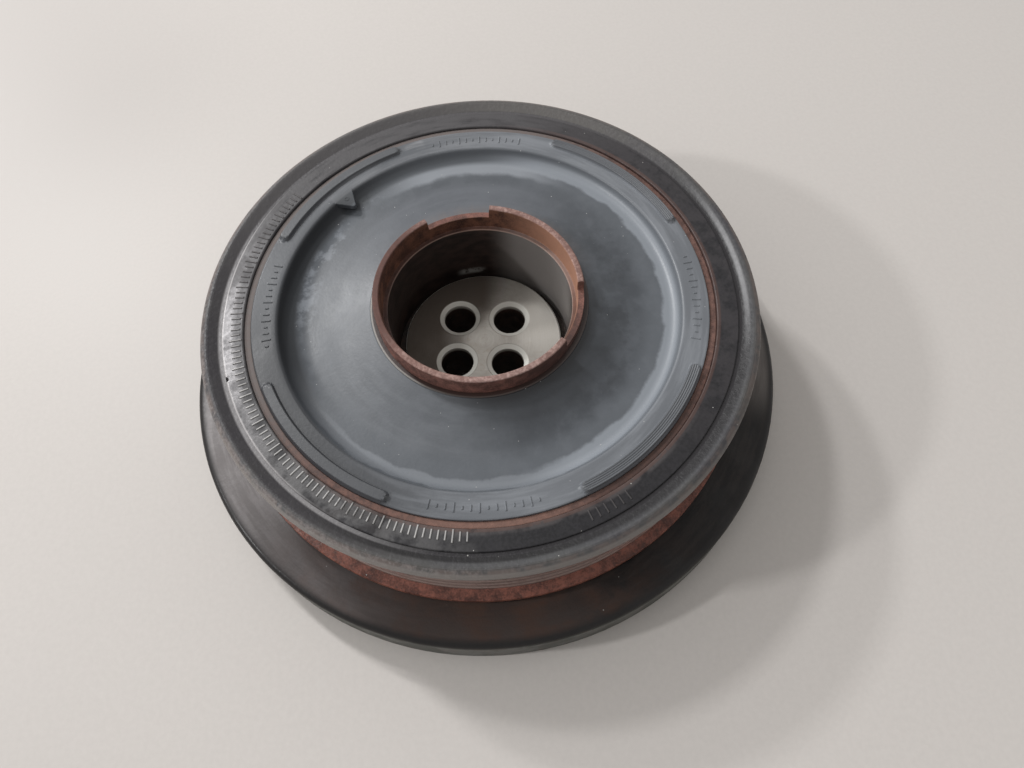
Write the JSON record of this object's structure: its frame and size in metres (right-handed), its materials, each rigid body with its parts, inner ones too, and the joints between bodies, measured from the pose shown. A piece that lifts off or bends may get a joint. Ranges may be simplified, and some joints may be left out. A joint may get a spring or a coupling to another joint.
{
  "type": "crankshaft pulley",
  "caption": "Round crankshaft pulley: ribbed belt rim sprung on a rubber disc, notched centre sleeve round a bolted boss, and a wider damper ring behind.",
  "frame": {"origin": "centre of the back plane, where the hub's foot and the inertia ring end", "axes": "+Z along the shaft, away from the engine; +X to the right as the picture shows it"},
  "size_m": [0.195, 0.195, 0.0524],
  "materials": {
    "machined_steel": "satin",
    "sleeve_steel": "rusty satin",
    "spring_rubber": "matte",
    "ring_steel": "rusty matte",
    "black_flange": "satin",
    "rim_steel": "worn satin",
    "bearing_steel": "satin",
    "slide_plastic": "matte",
    "seal_rubber": "matte",
    "damper_rubber": "matte",
    "painted_iron": "satin black paint"
  },
  "bodies": {
    "root": {"hub": "machined_steel", "inner_sleeve": "sleeve_steel", "decoupler_membrane": "spring_rubber", "decoupler_outer_ring": "ring_steel", "front_ring": "black_flange", "belt_pulley": "rim_steel", "bearing_carrier": "bearing_steel", "bearing_bush": "slide_plastic", "rear_thrust_ring": "slide_plastic", "front_thrust_ring": "slide_plastic", "stop_ring": "bearing_steel", "dust_seal": "seal_rubber", "damper_rubber": "damper_rubber", "inertia_ring": "painted_iron"}
  },
  "joints": []
}
